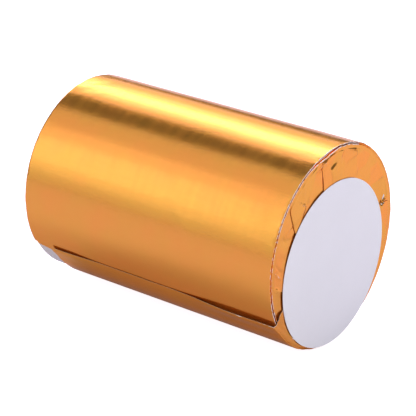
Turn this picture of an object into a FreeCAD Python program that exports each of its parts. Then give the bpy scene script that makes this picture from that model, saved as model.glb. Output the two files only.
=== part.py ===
import FreeCAD, Part
import math
import os

# A short roll of adhesive vinyl on a paper core, sealed in one sheet of gold foil laminate.
# The origin is on the roll's axis at mid-width, +X runs along the axis to the near end, +Z is up.
# The roll lies on its side. Millimetres. Angles go round +X, from +Y towards +Z.

# driving dimensions: the roll
WEB_WIDTH = 57.0
ROLL_RADIUS = 19.2
CORE_BORE_RADIUS = 6.35
CORE_PLY = 0.8
FILM = 0.075
LINER = 0.07
CORE_TAPE = 0.05
CORE_TAPE_ANGLES = (20.0, 60.0)
CORE_TAPE_HALF_LENGTH = 20.0
FREE_END_ANGLE = 310.0
FREE_END_STEP_ANGLE = 3.0
TAIL_TAPE = 0.05
TAIL_TAPE_HALF_ANGLE = 14.0
TAIL_TAPE_HALF_LENGTH = 9.0

# driving dimensions: the wrapper, one sheet of foil laminate
SHEET = 0.1
ROLL_TO_WRAPPER = 0.2
END_CLEARANCE = 0.06
FOLD_OPENING_RADIUS = 8.0
PLEAT_ANGLES = (8.0, 56.0, 103.0, 136.0, 185.0, 232.0, 281.0, 326.0)
PLEAT_WIDTH = 4.4
PLEAT_RIM_MARGIN = 0.4
TORN_ANGLES = (205.0, 252.0)
TORN_LENGTH = 4.5
TORN_DEPTH = 5.0

# driving dimensions: the overlap flap, which rises from the underside, its seam and its near tab
FLAP_EDGE_ANGLE = 205.5
FLAP_HINGE_ANGLE = 240.0
FLAP_GAP = 0.06
FLAP_ROOT_GAP_ANGLE = 0.4
SLEEVE_END_ANGLE = 232.0
TAB_INNER_RADIUS = 9.0
GLUE = 0.04
GLUE_ANGLES = (209.0, 218.0)
GLUE_SPAN = (-9.0, 11.0)

# driving dimensions: the round seal labels
LABEL_RADIUS = 16.0
LABEL_PAPER = 0.1
LABEL_ADHESIVE = 0.02
LABEL_ADHESIVE_MARGIN = 0.2
LABEL_GAP = 0.05
NEAR_LABEL_OFFSET = (0.15, -3.37)
FAR_LABEL_OFFSET = (1.2, 0.8)

# worked out from the driving dimensions
WEB_HALF = WEB_WIDTH / 2
CORE_RADIUS = CORE_BORE_RADIUS + 3 * CORE_PLY
LAST_TURN_RADIUS = ROLL_RADIUS - FILM - LINER
SLEEVE_INNER = ROLL_RADIUS + ROLL_TO_WRAPPER
SLEEVE_OUTER = SLEEVE_INNER + SHEET
FLAP_INNER = SLEEVE_OUTER + FLAP_GAP
FLAP_OUTER = FLAP_INNER + SHEET
FOLD_INNER_X = WEB_HALF + END_CLEARANCE
FOLD_OUTER_X = FOLD_INNER_X + SHEET
PLEAT_OUTER_X = FOLD_OUTER_X + 2 * SHEET
TORN_X = TORN_LENGTH - FOLD_OUTER_X
TAB_INNER_X = PLEAT_OUTER_X + FLAP_GAP
TAB_OUTER_X = TAB_INNER_X + SHEET
LABEL_BACK_X = TAB_OUTER_X + LABEL_GAP
LABEL_PAPER_X = LABEL_BACK_X + LABEL_ADHESIVE
LABEL_FACE_X = LABEL_PAPER_X + LABEL_PAPER
AXIS = FreeCAD.Vector(1, 0, 0)


def polar(radius, degrees, x=0.0):
    angle = math.radians(degrees)
    return FreeCAD.Vector(x, radius * math.cos(angle), radius * math.sin(angle))


def disc(radius, x0, x1, centre=(0.0, 0.0)):
    base = FreeCAD.Vector(min(x0, x1), centre[0], centre[1])
    return Part.makeCylinder(radius, abs(x1 - x0), base, AXIS)


def ring(inner, outer, x0, x1):
    return disc(outer, x0, x1).cut(disc(inner, x0, x1))


def arc(radius, start, end, x):
    middle = (start + end) / 2
    curve = Part.Arc(polar(radius, start, x), polar(radius, middle, x), polar(radius, end, x))
    return curve.toShape()


def sector(inner, outer, start, end, x0, x1):
    """A curved slab: part of a ring between two angles."""
    low = min(x0, x1)
    edges = [
        arc(outer, start, end, low),
        Part.makeLine(polar(outer, end, low), polar(inner, end, low)),
        arc(inner, end, start, low),
        Part.makeLine(polar(inner, start, low), polar(outer, start, low)),
    ]
    face = Part.Face(Part.Wire(edges))
    return face.extrude(AXIS * abs(x1 - x0))


def save(node, shape):
    solids = shape.Solids
    if len(solids) != 1 or not shape.isValid():
        raise ValueError(f"{node}: {len(solids)} solids, valid {shape.isValid()}")
    solids[0].exportStep(f"parts/{node}.step")


def core_plies():
    """Three paper plies wound into a tube."""
    plies = {}
    for index, name in enumerate(("inner", "middle", "outer")):
        inner = CORE_BORE_RADIUS + index * CORE_PLY
        plies[f"core_{name}_ply"] = ring(inner, inner + CORE_PLY, -WEB_HALF, WEB_HALF)
    return plies


def core_tape():
    """The strip that starts the web on the core."""
    return sector(
        CORE_RADIUS, CORE_RADIUS + CORE_TAPE, *CORE_TAPE_ANGLES,
        -CORE_TAPE_HALF_LENGTH, CORE_TAPE_HALF_LENGTH,
    )


def wound_turns():
    """Every turn of the web but the last, as one wound mass."""
    turns = ring(CORE_RADIUS, LAST_TURN_RADIUS, -WEB_HALF, WEB_HALF)
    return turns.cut(core_tape())


def outer_turn(inner, outer):
    """One layer of the last turn, open where the web's free end lies."""
    start = FREE_END_ANGLE + FREE_END_STEP_ANGLE
    return sector(inner, outer, start, FREE_END_ANGLE + 360, -WEB_HALF, WEB_HALF)


def tail_tape():
    """The short tape that holds the free end down."""
    middle = FREE_END_ANGLE + FREE_END_STEP_ANGLE / 2
    return sector(
        ROLL_RADIUS, ROLL_RADIUS + TAIL_TAPE,
        middle - TAIL_TAPE_HALF_ANGLE, middle + TAIL_TAPE_HALF_ANGLE,
        -TAIL_TAPE_HALF_LENGTH, TAIL_TAPE_HALF_LENGTH,
    )


def wrapper_sheet():
    """The wrapper's tube, from the flap's root round to its hidden inner edge, with the torn corner."""
    tube = sector(
        SLEEVE_INNER, SLEEVE_OUTER, FLAP_HINGE_ANGLE, SLEEVE_END_ANGLE + 360,
        -FOLD_INNER_X, FOLD_INNER_X,
    )
    torn = sector(
        SLEEVE_INNER - SHEET, SLEEVE_OUTER + SHEET, *TORN_ANGLES,
        -FOLD_INNER_X - SHEET, TORN_X,
    )
    return tube.cut(torn)


def pleat(angle, side):
    """The doubled part of one pleat: nothing at the rim, widest at the opening."""
    x = side * FOLD_OUTER_X
    spread = math.degrees(PLEAT_WIDTH / FOLD_OPENING_RADIUS)
    inner = FOLD_OPENING_RADIUS + PLEAT_RIM_MARGIN
    corners = [
        polar(SLEEVE_OUTER - PLEAT_RIM_MARGIN, angle, x),
        polar(inner, angle, x),
        polar(inner, angle + spread, x),
    ]
    outline = Part.makePolygon(corners + corners[:1])
    return Part.Face(outline).extrude(AXIS * side * (PLEAT_OUTER_X - FOLD_OUTER_X))


def end_fold(side):
    """The sheet folded in over one end of the roll, with its ring of pleats."""
    fold = ring(FOLD_OPENING_RADIUS, SLEEVE_OUTER, side * FOLD_INNER_X, side * FOLD_OUTER_X)
    for angle in PLEAT_ANGLES:
        fold = fold.fuse(pleat(angle, side))
    if side < 0:
        torn = sector(
            SLEEVE_OUTER - TORN_DEPTH, SLEEVE_OUTER + SHEET, *TORN_ANGLES,
            -PLEAT_OUTER_X - SHEET, SHEET - FOLD_INNER_X,
        )
        fold = fold.cut(torn)
    return fold.removeSplitter()


def seam_glue():
    """The spot of glue that holds the flap down in the middle of its length."""
    return sector(SLEEVE_OUTER, SLEEVE_OUTER + GLUE, *GLUE_ANGLES, *GLUE_SPAN)


def overlap_flap():
    """The outer lap of the wrapper, free along its upper edge. Its far corner is torn off."""
    root = FLAP_HINGE_ANGLE - FLAP_ROOT_GAP_ANGLE
    return sector(FLAP_INNER, FLAP_OUTER, FLAP_EDGE_ANGLE, root, TORN_X, TAB_OUTER_X)


def flap_near_tab():
    """The flap's near end, folded in over the end of the roll, under the label."""
    root = FLAP_HINGE_ANGLE - FLAP_ROOT_GAP_ANGLE
    return sector(TAB_INNER_RADIUS, FLAP_INNER, FLAP_EDGE_ANGLE, root, TAB_INNER_X, TAB_OUTER_X)


def label(side, offset):
    """A round paper label and the thin disc of adhesive behind it."""
    paper = disc(LABEL_RADIUS, side * LABEL_PAPER_X, side * LABEL_FACE_X, offset)
    adhesive_radius = LABEL_RADIUS - LABEL_ADHESIVE_MARGIN
    adhesive = disc(adhesive_radius, side * LABEL_BACK_X, side * LABEL_PAPER_X, offset)
    return paper, adhesive


os.makedirs("parts", exist_ok=True)

for node, shape in core_plies().items():
    save(node, shape)
save("core_tape", core_tape())
save("wound_turns", wound_turns())
save("outer_turn_liner", outer_turn(LAST_TURN_RADIUS, LAST_TURN_RADIUS + LINER))
save("outer_turn_film", outer_turn(LAST_TURN_RADIUS + LINER, ROLL_RADIUS))
save("tail_tape", tail_tape())

save("wrapper_sheet", wrapper_sheet())
save("near_end_fold", end_fold(1))
save("far_end_fold", end_fold(-1))
save("seam_glue", seam_glue())

save("overlap_flap", overlap_flap())
save("flap_near_tab", flap_near_tab())

for end, side, offset in (("near", 1, NEAR_LABEL_OFFSET), ("far", -1, FAR_LABEL_OFFSET)):
    paper, adhesive = label(side, offset)
    save(f"{end}_label_paper", paper)
    save(f"{end}_label_adhesive", adhesive)
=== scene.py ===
import math

import bpy
import numpy as np
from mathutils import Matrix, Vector


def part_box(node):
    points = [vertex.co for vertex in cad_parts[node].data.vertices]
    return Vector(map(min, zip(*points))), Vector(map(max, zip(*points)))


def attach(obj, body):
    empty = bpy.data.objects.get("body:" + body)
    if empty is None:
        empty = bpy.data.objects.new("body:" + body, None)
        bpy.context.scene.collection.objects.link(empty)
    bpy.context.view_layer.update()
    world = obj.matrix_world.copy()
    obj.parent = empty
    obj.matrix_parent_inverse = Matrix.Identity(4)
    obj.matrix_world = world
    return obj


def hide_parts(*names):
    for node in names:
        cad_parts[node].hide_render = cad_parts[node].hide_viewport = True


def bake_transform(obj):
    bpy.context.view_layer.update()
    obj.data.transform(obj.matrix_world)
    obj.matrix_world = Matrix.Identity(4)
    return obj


# A roll of vinyl sealed in gold foil laminate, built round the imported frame.
# Lengths are in metres in the frame's axes: the roll's axis is X, its near end is +X, Z is up.
# Angles go round +X in degrees, from +Y towards +Z. The sheet's own angle runs on past 360.

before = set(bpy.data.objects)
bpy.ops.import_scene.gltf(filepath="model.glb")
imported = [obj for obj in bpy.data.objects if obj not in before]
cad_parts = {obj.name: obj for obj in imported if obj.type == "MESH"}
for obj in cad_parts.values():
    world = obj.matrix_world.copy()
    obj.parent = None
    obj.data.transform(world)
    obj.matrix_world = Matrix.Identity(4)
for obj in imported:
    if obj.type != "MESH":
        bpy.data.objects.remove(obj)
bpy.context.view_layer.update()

MM = 0.001
TURN = 360.0

# places read from the frame
SIDE_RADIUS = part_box("wrapper_sheet")[1].y
ROLL_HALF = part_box("wound_turns")[1].x
LABEL_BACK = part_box("near_label_adhesive")[0].x

# the wrapper's sheet
SHEET = 0.05 * MM
OPENING_RADIUS = 8.0 * MM
COLUMNS = 533
EDGE_ANGLE = 206.0
HINGE_ANGLE = 240.0
SPLIT_ANGLE = 330.0
END_ANGLE = 590.0
TORN_START = 207.5
TORN_END = 252.0
TORN_PLACE = -24.1 * MM
TORN_DEPTH = 5.0 * MM
END_PLANE = ROLL_HALF + 0.34 * MM
LAP_RISE = 0.09 * MM
END_LAP_RISE = 0.07 * MM
FOLD_LEVELS = (0.0, 0.04 * MM, 0.17 * MM)
FOLD_ROUND = 0.05 * MM
PLEAT_GROWTH = 0.35 * MM
PLEAT_SPACING = 45.0
PLEAT_COLUMNS = 7
SIDE_ROWS = 84
END_ROWS = 40
END_FIRST_GAP = 0.16 * MM
END_ROW_CROWDING = 1.25

# where the outer lap steps down to the plain sheet, and where the hidden lap dips under it
STEP_END_ANGLE = HINGE_ANGLE + 10.0
STEP_SPAN = 14.0
UNDER_ANGLE = 568.0
UNDER_SPAN = 8.0
UNDER_SHARE = 0.45

# the labels: how far their edge bends back, and the share of the radius that stays flat
LABEL_BEND = 0.07 * MM
LABEL_FLAT_SHARE = 0.80
LABEL_RINGS = 30
LABEL_POINTS_ROUND = 160
LABEL_PAPER_THICK = 0.07 * MM
LABEL_PAPER_FRONT = 0.09 * MM
ADHESIVE_THICK = 0.015 * MM
ADHESIVE_FRONT = 0.018 * MM

def smooth(value):
    value = np.clip(value, 0.0, 1.0)
    return value * value * (3 - 2 * value)


def bump(value, centre, width):
    """1 at the centre, falling smoothly to 0 at the given distance."""
    return smooth(1 - np.abs(value - centre) / width)


def place(radius, degrees):
    """Y and Z of points at a radius and an angle."""
    angle = np.radians(degrees)
    return radius * np.cos(angle), radius * np.sin(angle)


class Noise:
    """Smooth gradient noise over a plane, from about -1 to 1."""

    def __init__(self, seed):
        random = np.random.default_rng(seed)
        self.order = random.permutation(256)
        turn = random.uniform(0, 2 * np.pi, 256)
        self.slope = np.stack([np.cos(turn), np.sin(turn)], -1)

    def __call__(self, x, y):
        x, y = np.broadcast_arrays(np.asarray(x, float), np.asarray(y, float))
        column, row = np.floor(x).astype(int), np.floor(y).astype(int)
        u, v = x - column, y - row

        def corner(i, j):
            slope = self.slope[self.order[(self.order[(column + i) % 256] + row + j) % 256]]
            return slope[..., 0] * (u - i) + slope[..., 1] * (v - j)

        low = corner(0, 0) * (1 - smooth(u)) + corner(1, 0) * smooth(u)
        high = corner(0, 1) * (1 - smooth(u)) + corner(1, 1) * smooth(u)
        return 1.4 * (low * (1 - smooth(v)) + high * smooth(v))


# ---------------------------------------------------------------- the wrapper's shape

ANGLES = np.linspace(EDGE_ANGLE, END_ANGLE, COLUMNS)
WAVES, RIPPLES, EDGES, LIPS = Noise(1), Noise(2), Noise(3), Noise(4)


def lap(angles):
    """How far a layer stands off the plain sheet: 1 on the outer lap, under 0 on the hidden one."""
    above = smooth((STEP_END_ANGLE - angles) / STEP_SPAN)
    return above - UNDER_SHARE * smooth((angles - UNDER_ANGLE) / UNDER_SPAN)


def flap_share(angles, reach):
    """1 at the sheet's outer free edge, falling to 0 `reach` degrees further on."""
    return smooth((EDGE_ANGLE + reach - angles) / reach)


def flap_lift(x, angles):
    """How far the flap's free edge stands off: loose at both ends, held in the middle."""
    near = 0.56 * smooth((x / MM - 5) / 15) - 0.08 * smooth((x / MM - 21) / 7)
    far = 0.26 * smooth((-x / MM - 11) / 10)
    ripple = 0.02 * EDGES(x / MM / 4, 4.2)
    return (near + far + 0.03 + ripple) * MM * flap_share(angles, 13) ** 1.5


def edge_shift(x, angles):
    """The free edge isn't quite straight, and it is ragged near the near end."""
    ragged = 0.30 * EDGES(x / MM / 1.3, 9.1) * smooth((x / MM - 12) / 10)
    ragged = ragged + 0.10 * EDGES(x / MM / 2.5, 1.7)
    return (0.7 + ragged) * flap_share(angles, 16)


def edge_wear(x):
    """White paper showing along the free edge, mostly near the near end."""
    patchy = 0.45 + 0.5 * EDGES(x / MM / 1.7, 14.0)
    return smooth((x / MM - 8) / 14) * patchy * flap_share(ANGLES, 1.4)


def tube_waves(x, arc, angles):
    """Slight waviness of the tube, with faint creases on its front."""
    wave = 0.028 * WAVES(x / 13, arc / 8) + 0.007 * RIPPLES(x / 3.6, arc / 14)
    wave = wave + 0.0030 * RIPPLES(x / 1.6, arc / 0.9)
    rim = smooth((np.abs(x) - ROLL_HALF / MM + 5) / 5)
    wave = wave + 0.028 * rim * WAVES(x / 3.5 + 40, arc / 3.2)
    far_top = bump(angles, 455, 28) * smooth((-x - 17) / 9)
    wave = wave + 0.05 * far_top * WAVES((x + arc) / 2.2, (arc - x) / 6)
    slant = (angles - 513) - (x - 6) * 3.4
    wave = wave + 0.035 * bump(slant, 0, 9) * bump(x, 8, 9)
    return wave + 0.012 * bump(x, -21.3, 0.8) * bump(angles, 492, 22)


def side_relief(x, angles):
    """The tube's waviness. The outer lap follows the layer under it."""
    under = angles + TURN
    follow = smooth((STEP_END_ANGLE - angles) / 20)
    own = tube_waves(x / MM, np.radians(angles) * SIDE_RADIUS / MM, angles)
    beneath = tube_waves(x / MM, np.radians(under) * SIDE_RADIUS / MM, under)
    return (own * (1 - follow) + beneath * follow) * MM


def side_points(x, angles):
    """Points of the tube: the outer lap steps up over the hidden end of the sheet."""
    radius = SIDE_RADIUS + side_relief(x, angles) + lap(angles) * LAP_RISE + flap_lift(x, angles)
    y, z = place(radius, angles + edge_shift(x, angles))
    return np.stack([np.broadcast_to(x, y.shape), y, z], -1)


# The rim: distance beyond the end plane and distance in from the side, in mm, for a plain rounded
# rim and for a creased lip with a slot behind it, and how worn the foil is there.
RIM = [
    (-0.75, 0.000, -0.75, 0.00, 0.0), (-0.50, 0.005, -0.35, 0.00, 0.0), (-0.30, 0.03, -0.06, 0.00, 0.1),
    (-0.16, 0.07, 0.06, 0.02, 0.6), (-0.07, 0.12, 0.09, 0.08, 0.8), (-0.02, 0.18, -0.04, 0.13, 0.4),
    (0.00, 0.26, -0.65, 0.16, 0.0), (0.01, 0.34, -0.80, 0.27, 0.0), (0.01, 0.42, -0.60, 0.38, 0.0),
    (0.01, 0.50, 0.00, 0.41, 0.3), (0.01, 0.60, 0.07, 0.47, 0.8), (0.00, 0.72, 0.03, 0.56, 0.3),
    (0.00, 0.88, -0.01, 0.75, 0.0), (0.00, 1.10, 0.00, 1.10, 0.0),
]
RIM_START = -RIM[0][0] * MM
RIM_DEPTH = RIM[-1][1] * MM

# how strongly the rim is creased into a lip, by angle on the sheet
NEAR_LIP = (
    [206, 240, 420, 432, 508, 520, 546, 552, 563, 569, 590],
    [0.1, 0.2, 0.2, 1.0, 1.0, 0.7, 0.6, 0.9, 0.9, 0.3, 0.1],
)
FAR_LIP = (
    [206, 260, 300, 340, 380, 430, 470, 500, 590],
    [0.2, 0.3, 0.8, 0.3, 0.2, 0.9, 0.3, 0.1, 0.1],
)


class End:
    """One folded end: its side of the roll, rim, pleats, facets and single creases."""

    def __init__(self, side, lip, pleats, creases, seed):
        self.side = side
        self.lip = lip
        self.pleats = pleats
        self.creases = creases
        self.noise = Noise(seed)
        random = np.random.default_rng(seed)
        count = 70
        turn = random.uniform(0, TURN, count)
        radius = SIDE_RADIUS * np.sqrt(random.uniform(0.16, 1.0, count))
        self.cells = np.stack(place(radius, turn), -1)
        self.tilts = random.normal(0, 0.045, (count, 2))
        self.tones = random.uniform(0, 1, count)

    def facets(self, y, z):
        """Height and tone of the flat facets that folding has pressed into the foil."""
        away = np.stack([y, z], -1)[..., None, :] - self.cells
        near = -(away**2).sum(-1) / MM**2
        weight = np.exp(1.6 * (near - near.max(-1, keepdims=True)))
        weight /= weight.sum(-1, keepdims=True)
        height = (weight * (away * self.tilts).sum(-1)).sum(-1)
        return height, (weight * self.tones).sum(-1)

    def crease_height(self, y, z):
        """Ridges and dents along single lines, and how worn their crests are."""
        height, worn = np.zeros_like(y), np.zeros_like(y)
        for start, stop, width, rise, wear in self.creases:
            a = np.array(place(start[0] * SIDE_RADIUS, start[1]))
            run = np.array(place(stop[0] * SIDE_RADIUS, stop[1])) - a
            along = np.clip(((y - a[0]) * run[0] + (z - a[1]) * run[1]) / (run @ run), 0, 1)
            away = np.hypot(y - a[0] - along * run[0], z - a[1] - along * run[1])
            shape = np.clip(1 - away / (width * MM), 0, 1) * (1 - 0.4 * np.abs(2 * along - 1))
            height = height + rise * MM * shape
            worn = np.maximum(worn, wear * shape)
        return height, worn

    def relief(self, y, z):
        """Distance along the axis, wear and tone of the crumpled end at these places."""
        facet, tone = self.facets(y, z)
        crease, worn = self.crease_height(y, z)
        fine = 0.05 * (0.5 - np.abs(self.noise(y / MM / 2.4, z / MM / 2.4)))
        fine = fine + 0.016 * (0.5 - np.abs(self.noise(y / MM / 0.9 + 7, z / MM / 0.9)))
        return facet + crease + fine * MM, worn, tone

    def pleat_folds(self, number, depth):
        """A pleat's upper and lower folds at a depth in from the rim, in degrees, and its width."""
        angle, lean, fullness = self.pleats[number]
        starts = [pleat[0] for pleat in self.pleats]
        before = starts[number - 1] if number else angle - PLEAT_SPACING
        after = starts[number + 1] if number + 1 < len(starts) else angle + PLEAT_SPACING
        width = 0.5 * math.radians((after - before) / 2) * depth * fullness
        middle = angle + lean * (depth / (0.27 * SIDE_RADIUS)) ** 0.9
        half = math.degrees(width / 2 / (SIDE_RADIUS - depth))
        return middle + half, middle - half, width

    def columns(self):
        """Column numbers, with seven in a row at each pleat, and which pleat and part each one is."""
        own = {int(np.argmin(abs(ANGLES - pleat[0]))): n for n, pleat in enumerate(self.pleats)}
        found = []
        for column in range(COLUMNS):
            if column in own:
                found += [(column, own[column], part) for part in range(PLEAT_COLUMNS)]
            else:
                found.append((column, -1, 0))
        return np.array(found)

    def layout(self, columns, depth):
        """The angle at which each column shows, and its fold level, at a depth in from the rim."""
        angles = ANGLES[columns[:, 0]]
        folds = [self.pleat_folds(n, depth) for n in range(len(self.pleats))]
        grown = [1 - math.exp(-width / PLEAT_GROWTH) for _, _, width in folds]
        starts = np.array([EDGE_ANGLE - 3] + [pleat[0] for pleat in self.pleats] + [END_ANGLE + 3])
        uppers = np.array([EDGE_ANGLE - 3] + [fold[0] for fold in folds] + [END_ANGLE + 3])
        lowers = np.array([EDGE_ANGLE - 3] + [fold[1] for fold in folds] + [END_ANGLE + 3])
        heights = np.array(grown + [0.0])
        span = np.clip(np.searchsorted(starts, angles, "left") - 1, 0, len(folds))
        share = (angles - starts[span]) / (starts[span + 1] - starts[span])
        shown = lowers[span] + share * (uppers[span + 1] - lowers[span])
        clear = uppers[span] + 1.0
        climb = smooth((shown - clear) / np.maximum(uppers[span + 1] - clear, 1.0))
        level = climb * FOLD_LEVELS[2] * heights[span]
        base, middle, top = FOLD_LEVELS
        for number, (upper, lower, width) in enumerate(folds):
            turn = math.degrees(min(FOLD_ROUND, width / 4) / (SIDE_RADIUS - depth))
            centre = (upper + lower) / 2
            angle = [upper - turn, upper, upper - turn, centre, lower + turn, lower, lower + turn]
            height = [top, (top + middle) / 2, middle, middle, middle, middle / 2, base]
            here = columns[:, 1] == number
            shown[here] = angle
            level[here] = np.array(height) * grown[number]
        return shown, level


# pleats: angle on the sheet, lean in degrees over their length, fullness
NEAR_PLEATS = [
    (232.0, 4.0, 0.9), (281.0, 3.0, 1.0), (326.0, 5.0, 0.9), (368.0, 1.5, 0.55),
    (463.0, 1.0, 0.3), (495.5, 10.0, 1.0), (545.0, 4.5, 0.7),
]
FAR_PLEATS = [
    (274.0, 5.0, 0.9), (319.0, 2.0, 1.0), (364.0, 6.0, 0.8),
    (412.0, 3.0, 1.0), (457.0, 5.0, 0.9), (502.0, 4.0, 1.0), (547.0, 3.0, 0.8),
]

# single creases: start and end as (share of the radius, degrees), half width and height in mm, wear
NEAR_CREASES = [
    ((0.90, 104), (0.72, 104.5), 0.30, -0.16, 0.0),
    ((0.85, 87), (0.71, 99), 0.60, 0.06, 0.0),
    ((0.93, 60), (0.90, 56), 0.50, -0.10, 0.0),
    ((0.96, 66), (0.93, 50), 0.35, 0.06, 0.0),
    ((0.95, 40), (0.72, 47), 0.90, 0.10, 0.0),
    ((0.80, 143), (0.86, 152), 0.35, 0.13, 0.5),
    ((0.90, 155), (0.84, 157), 0.40, -0.14, 0.0),
    ((0.93, 171), (0.84, 176), 0.35, -0.20, 0.0),
    ((0.93, 175), (0.85, 180), 0.40, 0.16, 0.6),
    ((0.96, 184), (0.85, 187), 0.22, 0.08, 0.6),
    ((0.97, 122), (0.80, 127), 0.80, 0.07, 0.0),
    ((0.96, 76), (0.72, 79), 0.90, 0.08, 0.0),
    ((0.93, 96), (0.90, 110), 0.45, 0.14, 0.45),
    ((0.90, 112), (0.86, 101), 0.40, -0.16, 0.0),
    ((0.97, 211), (0.88, 219), 0.60, 0.32, 0.4),
    ((0.98, 217), (0.89, 228), 0.50, -0.26, 0.0),
    ((0.98, 222), (0.90, 240), 0.40, 0.24, 0.9),
]
FAR_CREASES = [
    ((0.96, 30), (0.75, 37), 0.60, 0.12, 0.2), ((0.95, 75), (0.78, 70), 0.50, -0.14, 0.0),
    ((0.93, 120), (0.80, 131), 0.50, 0.12, 0.4), ((0.97, 320), (0.80, 328), 0.70, -0.12, 0.0),
    ((0.94, 275), (0.85, 290), 0.50, 0.12, 0.5),
]
NEAR = End(1, NEAR_LIP, NEAR_PLEATS, NEAR_CREASES, 23)
FAR = End(-1, FAR_LIP, FAR_PLEATS, FAR_CREASES, 31)


def missing(angles):
    """Whether a column of the sheet has lost its far end to the tear."""
    return (angles < TORN_END) | (angles > TORN_START + TURN)


def torn_edge(angles):
    """Where the far end of both laps stops: a corner is missing. Elsewhere the sheet is whole."""
    outer = 4.2 * smooth((angles - 232) / (TORN_END - 232)) * (angles < TORN_END)
    inner = 4.8 * smooth((TORN_START + TURN + 4 - angles) / 4) * (angles > TORN_END)
    edge = TORN_PLACE - (outer + inner) * MM + 0.15 * MM * EDGES((angles % TURN) / 5, 3.3)
    return np.where(missing(angles), edge, -1.0)


def label_away(y, z, side):
    """Distance from the middle of a label, 1 at its edge."""
    low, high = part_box("near_label_paper" if side > 0 else "far_label_paper")
    radius = (high.z - low.z) / 2
    return np.hypot(y - (low.y + high.y) / 2, z - (low.z + high.z) / 2) / radius


def label_back(y, z, side):
    """The plane behind a label, which bends down to the foil round its edge."""
    away = label_away(y, z, side)
    back = LABEL_BACK - LABEL_BEND * smooth((away - LABEL_FLAT_SHARE) / (1 - LABEL_FLAT_SHARE))
    return np.where(away < 1.01, back, 1.0)


def rim_points(end, step):
    """One row of the rim, with its wear."""
    round_x, round_in, lip_x, lip_in, worn = RIM[step]
    uneven = 0.15 * LIPS(ANGLES / 7, end.side * 5.0) * bump(ANGLES, 405, 180)
    share = np.clip(np.interp(ANGLES, *end.lip) + uneven, 0.05, 1.0)
    loose = 1 + 1.1 * bump(ANGLES, 460, 16) * (end.side > 0) * (step > 4)
    settle = smooth(step / (len(RIM) - 1)) * (step < len(RIM) - 1)
    x = (1 - share) * round_x + share * lip_x
    widen = np.minimum(loose, RIM[-1][1] / max(lip_in, 0.01))
    inward = (1 - share) * round_in + share * min(lip_in, RIM[-1][1]) * widen
    wobble = 0.05 * LIPS(ANGLES / 2.6, end.side * 9.0 + step / 6) * share * bump(step, 6, 6)
    inward = np.minimum(inward + wobble, RIM[-1][1])
    x = x + 0.07 * LIPS(ANGLES / 4.2, end.side * 17.0 + step / 5) * bump(step, 8, 6)
    half = END_PLANE - RIM_START
    start = side_points(end.side * half, ANGLES)
    notch = 0.09 * LIPS(ANGLES / 5, 33.0 + end.side) * smooth(step / 3)
    radius = np.hypot(start[:, 1], start[:, 2]) - (inward + np.clip(notch, -0.02, 1)) * MM
    shown = np.degrees(np.arctan2(start[:, 2], start[:, 1]))
    y, z = place(radius, shown)
    x = END_PLANE + x * MM + lap(ANGLES) * END_LAP_RISE * settle
    return np.stack([end.side * x, y, z], -1), worn * share


def end_points(end, columns, depth):
    """One row of the folded end, a depth in from the rim, with its wear and tone."""
    angles = ANGLES[columns[:, 0]]
    shown, level = end.layout(columns, depth)
    lifted = flap_lift(end.side * END_PLANE, angles) * (1 - smooth(depth / (4 * MM)))
    radius = SIDE_RADIUS - depth + lifted
    ragged = smooth((depth - SIDE_RADIUS + OPENING_RADIUS) / (0.6 * MM) + 1)
    radius = radius + 0.5 * MM * ragged * end.noise(shown / 8, 2.5)
    drawn_in = 4.6 * flap_share(angles, 12) * smooth(depth / (2 * MM))
    turned = edge_shift(end.side * END_PLANE, angles) - drawn_in
    y, z = place(radius, shown + turned)
    relief, worn, tone = end.relief(y, z)
    settle = 0.35 + 0.65 * smooth((depth - RIM_DEPTH) / (0.8 * MM))
    pressed = smooth((1.10 - label_away(y, z, end.side)) / 0.12)
    relief = relief * settle * (1 - 0.8 * pressed) - 0.04 * MM * pressed
    rise = lap(angles) * END_LAP_RISE
    room = label_back(y, z, end.side) - 0.02 * MM - END_PLANE - FOLD_LEVELS[2] - rise
    relief = np.minimum(relief, room)
    loose = 0.40 * MM * flap_share(angles, 11) ** 1.5 * bump(depth, 1.0 * MM, 3.0 * MM)
    x = END_PLANE + level + relief + rise + loose
    x = np.minimum(x, label_back(y, z, end.side) - 0.01 * MM)
    return np.stack([end.side * x, y, z], -1), worn, tone


class Grid:
    """The wrapper's outer surface, gathered row by row."""

    def __init__(self):
        self.points, self.wear, self.tone, self.flat = [], [], [], []
        self.faces, self.face_angle = [], []
        self.count = 0

    def add(self, points, wear, tone, along, angles):
        """A row of new points; returns their numbers."""
        size = len(points)
        self.points.append(points)
        self.wear.append(np.broadcast_to(wear, size))
        self.tone.append(np.broadcast_to(tone, size))
        across = np.radians(angles) * SIDE_RADIUS
        self.flat.append(np.stack([np.broadcast_to(along, size), across], -1))
        self.count += size
        return np.arange(self.count - size, self.count)

    def join(self, low, high, angles, flip, keep=None):
        """Faces between two rows of point numbers. Where the numbers repeat, they close up."""
        quads = np.stack([low[:-1], low[1:], high[1:], high[:-1]], -1)
        middle = (angles[:-1] + angles[1:]) / 2
        distinct = np.array([len(set(quad)) for quad in quads.tolist()])
        wanted = distinct >= 3
        if keep is not None:
            wanted &= keep[:-1] & keep[1:]
        if flip:
            quads = quads[:, ::-1]
        self.faces.append(quads[wanted])
        self.face_angle.append(middle[wanted])

    def finish(self):
        for name in ("points", "wear", "tone", "flat", "faces", "face_angle"):
            setattr(self, name, np.concatenate(getattr(self, name)))
        return self


def side_places():
    """Where the tube's rows are along the axis, from the near end to the far end."""
    half = END_PLANE - RIM_START
    share = np.linspace(1, -1, SIDE_ROWS)
    return half * (share + 0.06 * np.sin(math.pi * share))


def build_side(grid):
    edge = torn_edge(ANGLES)
    tone = 0.5 + 0.5 * WAVES(ANGLES / 24, 60.0)
    rows, last_x = [], None
    for x in side_places():
        here = np.maximum(x, edge)
        points = side_points(here, ANGLES)
        row = grid.add(points, edge_wear(here), tone, here, ANGLES)
        if rows:
            row = np.where(last_x - here < 0.05 * MM, rows[-1], row)
            grid.join(row, rows[-1], ANGLES, False)
        rows.append(row)
        last_x = here
    return rows[0], rows[-1]


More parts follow.
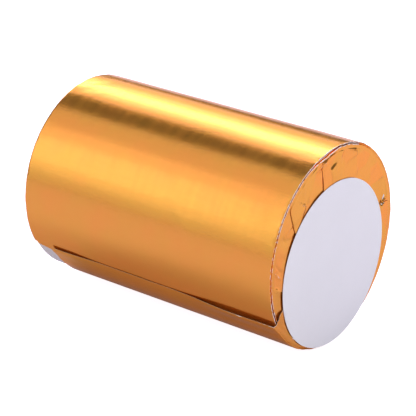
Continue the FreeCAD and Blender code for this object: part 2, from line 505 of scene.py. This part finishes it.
def build_end(grid, end, border):
    whole = ~missing(ANGLES) | (end.side > 0)
    flip = end.side < 0
    half = END_PLANE - RIM_START
    last = border
    for step in range(1, len(RIM)):
        points, wear = rim_points(end, step)
        along = end.side * (half + RIM_START * step / len(RIM))
        row = grid.add(points, np.maximum(wear, edge_wear(along)), 0.5, along, ANGLES)
        grid.join(last, row, ANGLES, flip, whole)
        last = row
    columns = end.columns()
    angles = ANGLES[columns[:, 0]]
    last, whole = last[columns[:, 0]], whole[columns[:, 0]]
    worn_edge = edge_wear(end.side * half)[columns[:, 0]]
    first = RIM_DEPTH + END_FIRST_GAP
    spread = np.linspace(0, 1, END_ROWS) ** END_ROW_CROWDING
    for depth in first + spread * (SIDE_RADIUS - OPENING_RADIUS - RIM_DEPTH - END_FIRST_GAP):
        points, wear, tone = end_points(end, columns, depth)
        along = end.side * (half + RIM_START + depth)
        row = grid.add(points, np.maximum(wear, worn_edge), tone, along, angles)
        grid.join(last, row, angles, flip, whole | (depth > TORN_DEPTH))
        last = row


def face_normals(points, faces):
    """Unscaled normals of four-cornered faces, from their diagonals."""
    a, b, c, d = (points[faces[:, i]] for i in range(4))
    return np.cross(c - a, d - b)


def point_normals(points, faces):
    normals = np.zeros_like(points)
    across = face_normals(points, faces)
    for corner in range(4):
        np.add.at(normals, faces[:, corner], across)
    length = np.linalg.norm(normals, axis=1)
    return normals / np.where(length > 0, length, 1)[:, None]


def without_repeats(face):
    return [point for n, point in enumerate(face) if point != face[n - 1]]


def thick_piece(name, points, normals, faces, thickness, values, flat):
    """A closed shell: the faces outside, the same ones offset inside, and a cut edge all round."""
    used = np.unique(faces)
    number = np.zeros(len(points), int)
    number[used] = np.arange(len(used))
    outer = points[used]
    inner = outer - normals[used] * thickness
    shell = [without_repeats(face) for face in number[faces].tolist()]
    back = [[point + len(used) for point in face[::-1]] for face in shell]
    edges = {(a, b) for face in shell for a, b in zip(face, face[1:] + face[:1])}
    rim = [[b, a, a + len(used), b + len(used)] for a, b in sorted(edges) if (b, a) not in edges]
    mesh = bpy.data.meshes.new(name)
    mesh.from_pydata(np.concatenate([outer, inner]).tolist(), [], shell + back + rim)
    mesh.polygons.foreach_set("material_index", [0] * len(shell) + [1] * len(back) + [2] * len(rim))
    mesh.polygons.foreach_set("use_smooth", [True] * (2 * len(shell)) + [False] * len(rim))
    for key, value in values.items():
        attribute = mesh.attributes.new(key, "FLOAT", "POINT")
        attribute.data.foreach_set("value", np.tile(value[used], 2))
    corners = np.empty(len(mesh.loops), np.int32)
    mesh.loops.foreach_get("vertex_index", corners)
    layer = mesh.uv_layers.new(name="unrolled")
    layer.data.foreach_set("uv", (np.tile(flat[used], (2, 1))[corners] / (10 * MM)).ravel())
    custom = np.concatenate([normals[used], -normals[used]])[corners]
    start = mesh.polygons[2 * len(shell)].loop_start
    custom[start:] = 0.0
    mesh.normals_split_custom_set(custom.tolist())
    piece = bpy.data.objects.new(name, mesh)
    bpy.context.scene.collection.objects.link(piece)
    return piece


# ---------------------------------------------------------------- materials


class Nodes:
    """Short calls for building one material's node tree."""

    def __init__(self, name):
        self.material = bpy.data.materials.new(name)
        self.material.use_nodes = True
        self.tree = self.material.node_tree
        self.shader = self.tree.nodes["Principled BSDF"]

    def node(self, kind, inputs=None, **settings):
        node = self.tree.nodes.new(kind)
        for key, value in settings.items():
            setattr(node, key, value)
        for key, value in (inputs or {}).items():
            self.put(node.inputs[key], value)
        return node

    def put(self, socket, value):
        if isinstance(value, bpy.types.NodeSocket):
            self.tree.links.new(value, socket)
        else:
            socket.default_value = value

    def set(self, **values):
        for key, value in values.items():
            self.put(self.shader.inputs[key.replace("_", " ")], value)

    def coordinates(self, scale=(1.0, 1.0, 1.0)):
        source = self.node("ShaderNodeTexCoord").outputs["Object"]
        return self.node("ShaderNodeMapping", {"Vector": source, "Scale": scale}).outputs["Vector"]

    def unrolled(self, scale=(1.0, 1.0, 1.0)):
        source = self.node("ShaderNodeUVMap", uv_map="unrolled").outputs["UV"]
        return self.node("ShaderNodeMapping", {"Vector": source, "Scale": scale}).outputs["Vector"]

    def value(self, name):
        return self.node("ShaderNodeAttribute", attribute_name=name).outputs["Fac"]

    def noise(self, vector, scale, detail=3.0, roughness=0.5):
        inputs = {"Vector": vector, "Scale": scale, "Detail": detail, "Roughness": roughness}
        return self.node("ShaderNodeTexNoise", inputs).outputs["Fac"]

    def ramp(self, value, low, high, start=0.0, end=1.0):
        inputs = {"Value": value, "From Min": low, "From Max": high, "To Min": start, "To Max": end}
        return self.node("ShaderNodeMapRange", inputs).outputs["Result"]

    def math(self, operation, a, b=0.0):
        node = self.node("ShaderNodeMath", operation=operation)
        self.put(node.inputs[0], a)
        self.put(node.inputs[1], b)
        return node.outputs[0]

    def mix(self, share, a, b):
        node = self.node("ShaderNodeMix", data_type="RGBA")
        for socket, value in zip((node.inputs[0], node.inputs[6], node.inputs[7]), (share, a, b)):
            self.put(socket, value)
        return node.outputs[2]

    def bump(self, height, distance, strength=1.0):
        inputs = {"Height": height, "Distance": distance, "Strength": strength}
        return self.node("ShaderNodeBump", inputs).outputs["Normal"]


def foil_material():
    """Gold-lacquered metallised film, with white paper showing where a crease has cracked it."""
    n = Nodes("gold_foil")
    cloud = n.noise(n.unrolled(), 1.6, 2.0)
    tone = n.math("ADD", n.math("MULTIPLY", n.value("tone"), 0.7), n.math("MULTIPLY", cloud, 0.6))
    gold = n.mix(n.ramp(tone, 0.40, 0.85), (0.80, 0.300, 0.056, 1), (0.73, 0.335, 0.053, 1))
    streaks = n.noise(n.unrolled((2.5, 14.0, 1.0)), 1.0, 3.0)
    gold = n.mix(n.ramp(streaks, 0.35, 0.75, 0.0, 0.18), gold, (0.72, 0.27, 0.04, 1))
    speck = n.noise(n.unrolled(), 13.0, 3.0, 0.6)
    worn = n.math("MULTIPLY", n.value("wear"), n.ramp(speck, 0.22, 0.58))
    cracked = n.ramp(worn, 0.30, 0.48)
    n.set(Base_Color=n.mix(cracked, gold, (0.80, 0.78, 0.74, 1)))
    n.set(Metallic=n.ramp(cracked, 0.0, 1.0, 1.0, 0.0))
    bands = n.noise(n.unrolled((7.0, 0.8, 1.0)), 1.2, 2.0)
    n.set(Roughness=n.math("ADD", n.ramp(bands, 0.3, 0.7, 0.175, 0.235), n.ramp(cracked, 0, 1, 0, 0.4)))
    n.set(Coat_Weight=0.3, Coat_Roughness=0.12, Specular_Tint=(0.93, 0.66, 0.38, 1))
    n.set(Normal=n.bump(n.noise(n.unrolled((3.0, 15.0, 1.0)), 2.2, 3.0), 0.00002, 0.6))
    return n.material


def paper_material(name, light, dark, roughness=0.85):
    """Uncoated paper: faint clouding and a fibre bump."""
    n = Nodes(name)
    cloud = n.noise(n.coordinates(), 160.0)
    fibre = n.noise(n.coordinates(), 2600.0, 4.0, 0.65)
    share = n.math("ADD", n.ramp(cloud, 0.3, 0.7, 0.0, 0.6), n.ramp(fibre, 0.3, 0.7, 0.0, 0.4))
    n.set(Base_Color=n.mix(share, light, dark), Roughness=roughness)
    n.set(Normal=n.bump(fibre, 0.00002, 0.5))
    return n.material


def core_material():
    """Brown core board, with the grain and clouding of recycled fibre."""
    n = Nodes("core_board")
    grain = n.noise(n.coordinates((0.35, 1.0, 1.0)), 1500.0, 5.0, 0.65)
    patch = n.noise(n.coordinates(), 260.0)
    share = n.math("ADD", n.ramp(grain, 0.3, 0.7, 0.0, 0.7), n.ramp(patch, 0.3, 0.7, 0.0, 0.3))
    n.set(Base_Color=n.mix(share, (0.46, 0.31, 0.18, 1), (0.27, 0.17, 0.09, 1)), Roughness=0.88)
    n.set(Normal=n.bump(grain, 0.00005, 0.6))
    return n.material


def film_material():
    """White satin vinyl: the faintest mottle, and fine lines round the roll."""
    n = Nodes("white_vinyl")
    lines = n.noise(n.coordinates((6.0, 0.4, 0.4)), 500.0)
    mottle = n.noise(n.coordinates(), 220.0)
    n.set(Base_Color=n.mix(n.ramp(mottle, 0.3, 0.7), (0.57, 0.545, 0.52, 1), (0.51, 0.49, 0.47, 1)))
    n.set(Roughness=n.ramp(lines, 0.3, 0.7, 0.30, 0.42), Normal=n.bump(lines, 0.00001, 0.3))
    return n.material


RING_SPACING = 0.29 * MM


def wound_material():
    """The roll's end face: edges of many turns, white film and greyer liner in fine rings."""
    n = Nodes("wound_edges")
    at = n.coordinates()
    parts = n.node("ShaderNodeSeparateXYZ", {"Vector": at})
    across, up = parts.outputs["Y"], parts.outputs["Z"]
    squares = n.math("ADD", n.math("POWER", across, 2.0), n.math("POWER", up, 2.0))
    turns = n.math("MULTIPLY", n.math("SQRT", squares), 2 * math.pi / RING_SPACING)
    ring = n.math("SINE", turns)
    cloud = n.noise(at, 400.0)
    share = n.math("ADD", n.ramp(ring, -1, 1, 0.0, 0.5), n.ramp(cloud, 0.3, 0.7, 0.0, 0.5))
    n.set(Base_Color=n.mix(share, (0.80, 0.80, 0.82, 1), (0.60, 0.60, 0.65, 1)), Roughness=0.6)
    n.set(Normal=n.bump(ring, 0.00003, 0.6))
    return n.material


def clear_material(name, colour, roughness):
    """Thin tape or adhesive: slightly mottled and glossy."""
    n = Nodes(name)
    mottle = n.noise(n.coordinates(), 700.0, 4.0)
    dark = tuple(0.86 * c for c in colour[:3]) + (1,)
    n.set(Base_Color=n.mix(n.ramp(mottle, 0.3, 0.7), colour, dark))
    n.set(Roughness=n.ramp(mottle, 0.3, 0.7, roughness, roughness + 0.15))
    n.set(Normal=n.bump(mottle, 0.00002, 0.4))
    return n.material


def floor_material():
    """Pale matte floor that glows: a painted glow by its place for the foil to mirror, dimmer near the
    roll as painted shade, and more when seen.
    """
    n = Nodes("pale_floor")
    cloud = n.noise(n.coordinates(), 3.0, 2.0)
    n.set(Base_Color=n.mix(cloud, (0.59, 0.53, 0.58, 1), (0.57, 0.51, 0.56, 1)), Roughness=0.95)
    n.set(Emission_Color=(1.0, 0.97, 1.0, 1), Specular_IOR_Level=0.0)
    seen = n.node("ShaderNodeLightPath").outputs["Is Camera Ray"]
    # painted light and shade: for all rays but the camera's the floor glows, dimmest beside the roll and
    # brighter away from it and beyond the near end, a painted stand-in for the roll's contact shadow
    parts = n.node("ShaderNodeSeparateXYZ", {"Vector": n.coordinates()})
    painted_glow_aside = n.ramp(n.math("ABSOLUTE", parts.outputs["Y"]), 12 * MM, 38 * MM, 0.08, 0.25)
    painted_glow_ahead = n.ramp(parts.outputs["X"], 25 * MM, 60 * MM, 0.0, 0.16)
    painted_floor_glow = n.math("ADD", painted_glow_aside, painted_glow_ahead)
    n.set(Emission_Strength=n.math("MAXIMUM", n.math("MULTIPLY", seen, 0.92), painted_floor_glow))
    return n.material


FOIL = foil_material()
SHEET_PAPER = paper_material("laminate_paper", (0.78, 0.76, 0.73, 1), (0.66, 0.64, 0.61, 1))
CUT_EDGE = paper_material("cut_edge", (0.60, 0.44, 0.28, 1), (0.42, 0.27, 0.14, 1), 0.7)
LABEL_PAPER = paper_material("label_paper", (0.745, 0.752, 0.745, 1), (0.72, 0.727, 0.72, 1), 0.8)
CORE_BOARD = core_material()
VINYL = film_material()
WOUND = wound_material()
TAPE = clear_material("tape", (0.80, 0.74, 0.55, 1), 0.2)
GLUE = clear_material("glue", (0.74, 0.64, 0.42, 1), 0.35)
ADHESIVE = clear_material("label_adhesive", (0.80, 0.77, 0.70, 1), 0.3)


# ---------------------------------------------------------------- the wrapper's pieces


def make_lap(name, grid, normals, chosen):
    values = {"wear": grid.wear, "tone": grid.tone}
    piece = thick_piece(name, grid.points, normals, grid.faces[chosen], SHEET, values, grid.flat)
    for material in (FOIL, SHEET_PAPER, CUT_EDGE):
        piece.data.materials.append(material)
    return piece


def make_wrapper():
    """The one sheet, as two pieces that meet at the back: only one of them ends in the flap."""
    grid = Grid()
    near_border, far_border = build_side(grid)
    build_end(grid, NEAR, near_border)
    build_end(grid, FAR, far_border)
    grid.finish()
    normals = point_normals(grid.points, grid.faces)
    outer = make_lap("wrapper_outer_lap", grid, normals, grid.face_angle < SPLIT_ANGLE)
    inner = make_lap("wrapper_inner_lap", grid, normals, grid.face_angle > SPLIT_ANGLE)
    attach(inner, "wrapper")
    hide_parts("wrapper_sheet", "far_end_fold")
    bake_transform(outer)
    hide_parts("near_end_fold", "overlap_flap", "flap_near_tab")


# ---------------------------------------------------------------- the labels


def disc_rings(centre, radius, rings, around):
    """Points of a disc as rings round a centre, and its faces, the centre's with a repeated point."""
    shares, turns = np.arange(1, rings + 1) / rings, np.arange(around) * TURN / around
    share, turn = np.meshgrid(shares, turns, indexing="ij")
    y, z = place(radius * share.ravel(), turn.ravel())
    points = np.concatenate([[centre], np.stack([centre[0] + y, centre[1] + z], -1)])
    numbers = 1 + np.arange(rings * around).reshape(rings, around)
    after = np.roll(numbers, -1, axis=1)
    quads = np.stack([numbers[:-1], numbers[1:], after[1:], after[:-1]], -1).reshape(-1, 4)
    hub = np.stack([np.zeros(around, int), np.zeros(around, int), numbers[0], after[0]], -1)
    return points, np.concatenate([hub, quads])


def make_disc(end, node, material, thickness, front):
    """A thin round piece in its node's place, following the bend of the label's edge."""
    low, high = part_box(node)
    centre = ((low.y + high.y) / 2, (low.z + high.z) / 2)
    flat, faces = disc_rings(centre, (high.z - low.z) / 2, LABEL_RINGS, LABEL_POINTS_ROUND)
    y, z = flat[:, 0], flat[:, 1]
    back = label_back(y, z, end.side)
    cockle = 0.012 * MM * end.noise(y / MM / 6, z / MM / 6 + 30)
    x = end.side * (back + front + cockle)
    points = np.stack([x, y, z], -1)
    if end.side < 0:
        faces = faces[:, ::-1]
    normals = point_normals(points, faces)
    piece = thick_piece(node.replace("label", "seal"), points, normals, faces, thickness, {}, flat)
    for _ in ("outside", "inside", "cut edge"):
        piece.data.materials.append(material)
    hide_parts(node)
    return piece


def make_labels():
    for name, end in (("near", NEAR), ("far", FAR)):
        layers = (
            ("label_paper", LABEL_PAPER, LABEL_PAPER_THICK, LABEL_PAPER_FRONT),
            ("label_adhesive", ADHESIVE, ADHESIVE_THICK, ADHESIVE_FRONT),
        )
        for layer, material, thickness, front in layers:
            piece = make_disc(end, f"{name}_{layer}", material, thickness, front)
            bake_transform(piece)


# ---------------------------------------------------------------- CAD nodes that stay


def finish_cad_nodes():
    looks = {
        "core_inner_ply": CORE_BOARD, "core_middle_ply": CORE_BOARD, "core_outer_ply": CORE_BOARD,
        "core_tape": TAPE, "tail_tape": TAPE, "wound_turns": WOUND, "outer_turn_liner": SHEET_PAPER,
        "outer_turn_film": VINYL, "seam_glue": GLUE,
    }
    for name, material in looks.items():
        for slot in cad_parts[name].material_slots:
            slot.material = material


# ---------------------------------------------------------------- stage, light and camera


# the panels behind the roll are slightly blue and turned in their plane, and the two narrower ones in
# front of it are nearer the far end
COOL = (1.0, 1.0, 1.35)
BACK_PANEL = {"length": 3.0, "x": -0.6, "skew": -16, "colour": COOL}
FRONT_PANEL = {"length": 1.8, "x": -1.35}
WORLD_LIGHT = 0.20


def softbox(name, degrees, distance, spread, radiance, length=3.0, x=0.0, skew=0.0, colour=(1, 1, 1)):
    """A long panel parallel to the roll, at an angle round its axis, turned by `skew` in its plane."""
    width = 2 * distance * math.tan(math.radians(spread))
    light = bpy.data.lights.new(name, "AREA")
    light.shape = "RECTANGLE"
    light.size = length
    light.size_y = width
    light.energy = radiance * math.pi * length * width
    light.color = colour
    lamp = bpy.data.objects.new(name, light)
    angle = math.radians(degrees)
    lamp.location = (x, distance * math.cos(angle), distance * math.sin(angle))
    lamp.rotation_euler = (angle - math.pi / 2, 0, 0)
    lamp.rotation_euler.rotate_axis("Z", math.radians(skew))
    lamp.visible_camera = False
    bpy.context.scene.collection.objects.link(lamp)


def fill_light(location, size, radiance):
    """A square panel that faces the roll."""
    light = bpy.data.lights.new("fill", "AREA")
    light.size = size
    light.energy = radiance * math.pi * size * size
    lamp = bpy.data.objects.new("fill", light)
    lamp.location = location
    lamp.rotation_euler = Vector(location).to_track_quat("Z", "Y").to_euler()
    lamp.visible_camera = False
    bpy.context.scene.collection.objects.link(lamp)


def make_lights():
    softbox("back_wide", 40, 0.9, 27, 1.15, **BACK_PANEL)
    softbox("back_middle", 43, 0.9, 15, 1.1, **BACK_PANEL)
    softbox("back_core", 44, 0.9, 6, 2.1, **BACK_PANEL)
    softbox("front_wide", 134, 0.9, 46, 0.76)
    softbox("front_middle", 141, 0.85, 27, 0.40, **FRONT_PANEL)
    softbox("front_core", 143, 0.8, 14, 0.40, **FRONT_PANEL)
    fill_light((1.2, -0.2, 0.3), 1.0, 0.85)
    world = bpy.data.worlds.new("studio")
    bpy.context.scene.world = world
    world.use_nodes = True
    tree = world.node_tree
    background = tree.nodes["Background"]
    seen = tree.nodes.new("ShaderNodeLightPath").outputs["Is Camera Ray"]
    shade = tree.nodes.new("ShaderNodeMapRange")
    shade.inputs["To Min"].default_value = WORLD_LIGHT
    shade.inputs["To Max"].default_value = 1.0
    tree.links.new(seen, shade.inputs["Value"])
    tree.links.new(shade.outputs["Result"], background.inputs["Strength"])
    background.inputs["Color"].default_value = (1, 1, 1, 1)


def make_floor():
    half, bottom = 4.0, -SIDE_RADIUS
    mesh = bpy.data.meshes.new("floor")
    corners = [(-half, -half, bottom), (half, -half, bottom), (half, half, bottom), (-half, half, bottom)]
    mesh.from_pydata(corners, [], [[0, 1, 2, 3]])
    mesh.materials.append(floor_material())
    floor = bpy.data.objects.new("floor", mesh)
    bpy.context.scene.collection.objects.link(floor)


CAMERA_AZIMUTH = 37.7
CAMERA_ELEVATION = 24.17
CAMERA_DISTANCE = 0.3311
CAMERA_LENS = 151.0
CAMERA_TARGET = Vector((0.3 * MM, 0.0, -0.2 * MM))


def make_camera():
    azimuth, elevation = math.radians(CAMERA_AZIMUTH), math.radians(CAMERA_ELEVATION)
    level = math.cos(elevation)
    back = Vector((math.sin(azimuth) * level, -math.cos(azimuth) * level, math.sin(elevation)))
    camera = bpy.data.objects.new("camera", bpy.data.cameras.new("camera"))
    camera.data.lens = CAMERA_LENS
    camera.data.clip_start = 0.01
    camera.location = CAMERA_TARGET + back * CAMERA_DISTANCE
    camera.rotation_euler = (-back).to_track_quat("-Z", "Y").to_euler()
    bpy.context.scene.collection.objects.link(camera)
    bpy.context.scene.camera = camera


make_wrapper()
make_labels()
finish_cad_nodes()
make_floor()
make_lights()
make_camera()
bpy.context.scene.view_settings.view_transform = "Standard"
